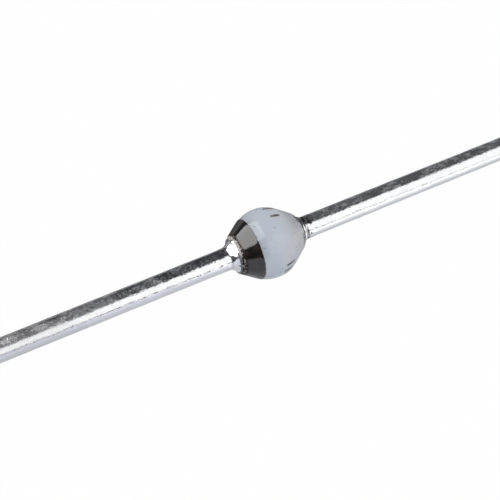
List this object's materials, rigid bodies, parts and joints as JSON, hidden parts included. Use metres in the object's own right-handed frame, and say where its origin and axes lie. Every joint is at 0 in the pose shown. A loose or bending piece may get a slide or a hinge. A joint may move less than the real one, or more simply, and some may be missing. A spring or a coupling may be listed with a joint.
{
  "type": "axial rectifier diode",
  "caption": "Axial rectifier diode with an opal glass bead body, a dark cathode band, braze collars and long straight tinned wire leads.",
  "frame": {"origin": "middle of the silicon chip on the lead axis, which is the middle of the overall length", "axes": "+X runs along the leads from the cathode to the anode; +Y and +Z are square to it, and the part is the same all round"},
  "size_m": [0.0562, 0.004, 0.004],
  "materials": {
    "tinned_wire": "bright tin with small pits and dull patches",
    "braze": "bright, slightly lumpy",
    "molybdenum": "satin",
    "hard_solder": "satin",
    "silicon": "polished faces",
    "opal_glass": "glossy opal glass",
    "fired_ink": "glossy fired ink"
  },
  "bodies": {
    "root": {"cathode_lead": "tinned_wire", "anode_lead": "tinned_wire", "cathode_braze_collar": "braze", "anode_braze_collar": "braze", "cathode_stud": "molybdenum", "anode_stud": "molybdenum", "cathode_bond": "hard_solder", "anode_bond": "hard_solder", "silicon_chip": "silicon", "glass_bead": "opal_glass", "cathode_band": "fired_ink"}
  },
  "joints": []
}
